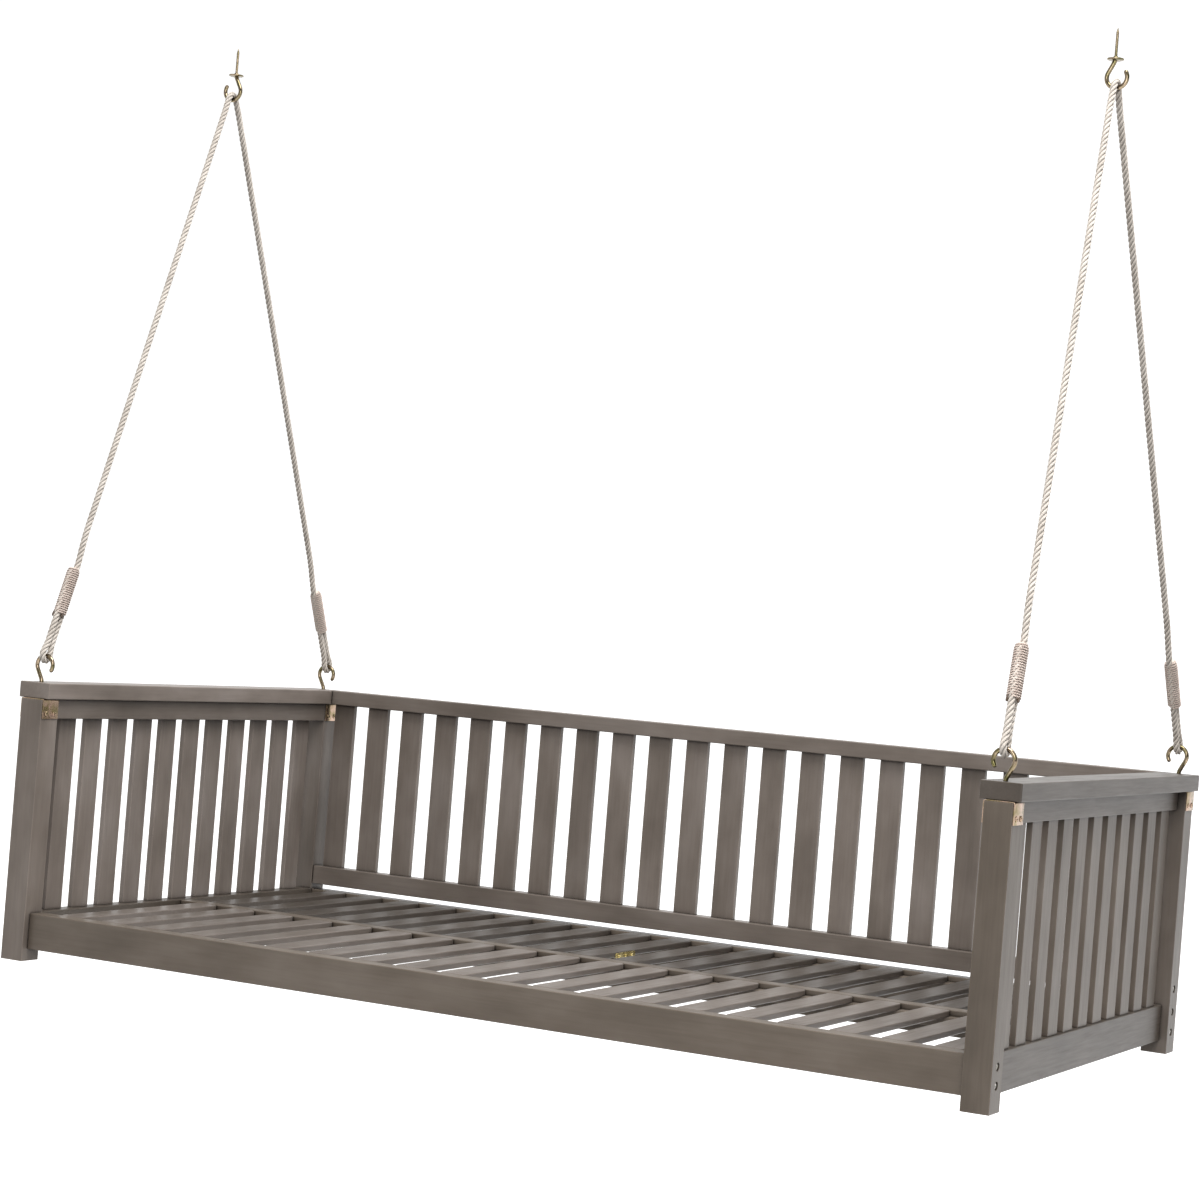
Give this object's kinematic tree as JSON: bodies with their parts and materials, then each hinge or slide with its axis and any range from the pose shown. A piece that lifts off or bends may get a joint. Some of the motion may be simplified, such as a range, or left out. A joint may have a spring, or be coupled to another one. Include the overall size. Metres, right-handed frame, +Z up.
{
  "type": "porch swing",
  "caption": "Slatted daybed porch swing with low arms and back, hung at its corners by seized rope eyes from screw hooks, the ropes meeting over ceiling hooks.",
  "frame": {"origin": "in the plane of the ceiling, midway between the two ceiling hooks", "axes": "+Z up, +X along the bed to its right end seen from the open front, +Y towards the slatted back"},
  "size_m": [2.032, 1.05, 1.852],
  "materials": {
    "frame_wood": "matt grey-brown stain on sawn timber",
    "seat_wood": "matt light grey-brown stain on sawn slats",
    "hook_zinc": "bright yellow zinc plate",
    "strap_zinc": "satin yellow zinc plate",
    "rope": "laid three-strand cream rope and matching seizing cord"
  },
  "bodies": {
    "ceiling_hooks": {"ceiling_hook_left": "hook_zinc", "ceiling_hook_right": "hook_zinc"},
    "rope_bights": {"rope_bight_left": "rope", "rope_bight_right": "rope"},
    "left_ropes": {"rope_leg_front_left": "rope", "rope_leg_back_left": "rope", "seized_eye_front_left": "rope", "seized_eye_back_left": "rope"},
    "right_ropes": {"rope_leg_front_right": "rope", "rope_leg_back_right": "rope", "seized_eye_front_right": "rope", "seized_eye_back_right": "rope"},
    "bed": {"seat_rail_front": "frame_wood", "seat_rail_centre": "frame_wood", "seat_rail_back": "frame_wood", "seat_deck_front": "seat_wood", "seat_deck_back": "seat_wood", "back_rail_bottom": "frame_wood", "back_rail_top": "frame_wood", "arm_cap_left": "frame_wood", "arm_cap_right": "frame_wood", "arm_panel_left": "frame_wood", "arm_panel_right": "frame_wood", "arm_apron_left": "frame_wood", "arm_apron_right": "frame_wood", "post_front_left": "frame_wood", "post_back_left": "frame_wood", "post_front_right": "frame_wood", "post_back_right": "frame_wood", "back_slat_01": "frame_wood", "back_slat_02": "frame_wood", "back_slat_03": "frame_wood", "back_slat_04": "frame_wood", "back_slat_05": "frame_wood", "back_slat_06": "frame_wood", "back_slat_07": "frame_wood", "back_slat_08": "frame_wood", "back_slat_09": "frame_wood", "back_slat_10": "frame_wood", "back_slat_11": "frame_wood", "back_slat_12": "frame_wood", "back_slat_13": "frame_wood", "back_slat_14": "frame_wood", "back_slat_15": "frame_wood", "back_slat_16": "frame_wood", "back_slat_17": "frame_wood", "back_slat_18": "frame_wood", "back_slat_19": "frame_wood", "back_slat_20": "frame_wood", "back_slat_21": "frame_wood", "back_slat_22": "frame_wood", "post_strap_front_left": "strap_zinc", "post_strap_back_left": "strap_zinc", "post_strap_front_right": "strap_zinc", "post_strap_back_right": "strap_zinc", "bed_hook_front_left": "hook_zinc", "bed_hook_back_left": "hook_zinc", "bed_hook_front_right": "hook_zinc", "bed_hook_back_right": "hook_zinc"}
  },
  "joints": [
    {"name": "swing_fore_aft", "type": "hinge", "parent": "ceiling_hooks", "child": "rope_bights", "pos_m": [0, 0, -0.0522], "axis": [1, 0, 0], "range_deg": [-20, 20]},
    {"name": "sway_left_ropes", "type": "hinge", "parent": "rope_bights", "child": "left_ropes", "pos_m": [-0.9383, 0, -0.0822], "axis": [0, 1, 0], "range_deg": [-8, 8]},
    {"name": "bed_level", "type": "hinge", "parent": "left_ropes", "child": "bed", "pos_m": [-0.975, 0, -1.2275], "axis": [0, 1, 0], "range_deg": [-7.7, 7.7]},
    {"name": "sway_right_ropes", "type": "hinge", "parent": "rope_bights", "child": "right_ropes", "pos_m": [0.9383, 0, -0.0822], "axis": [0, 1, 0], "range_deg": [-8, 8]}
  ],
  "couplings": [
    {"joint": "bed_level", "follows": "sway_left_ropes", "ratio": -0.96236},
    {"joint": "sway_right_ropes", "follows": "sway_left_ropes", "ratio": 1}
  ]
}
